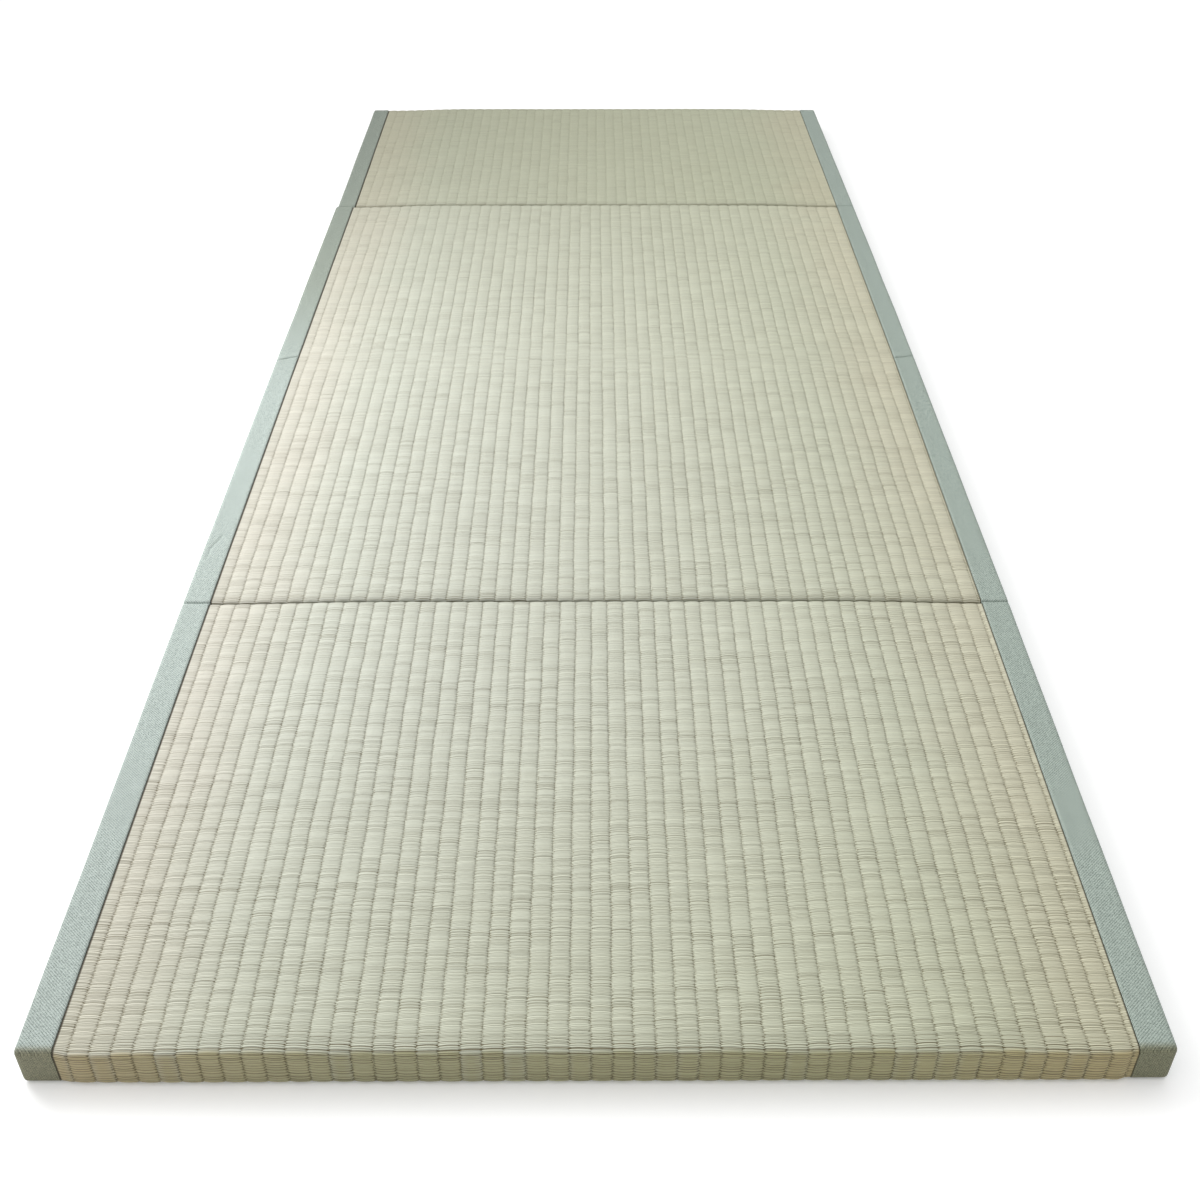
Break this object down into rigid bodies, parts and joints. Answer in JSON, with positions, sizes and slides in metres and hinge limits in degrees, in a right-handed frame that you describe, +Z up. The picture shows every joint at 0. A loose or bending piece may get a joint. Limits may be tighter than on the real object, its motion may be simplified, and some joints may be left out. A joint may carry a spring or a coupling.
{
  "type": "folding tatami mat",
  "caption": "Rush-faced folding tatami mat lying open: a flat ribbed igusa board with fold slits across it and a woven cloth binding along each long edge",
  "frame": {"origin": "middle of the mat's footprint, on the surface that it lies on", "axes": "+X across the mat to the right seen from its front end, +Y along the mat to its back end, +Z up"},
  "size_m": [0.809, 2.01, 0.0372],
  "materials": {
    "rush": "woven igusa rush, matt with a slight sheen along the stalks",
    "binding": "woven cotton and polyester binding, matt"
  },
  "bodies": {
    "root": {"rush_board": "rush", "binding_left": "binding", "binding_right": "binding"}
  },
  "joints": []
}
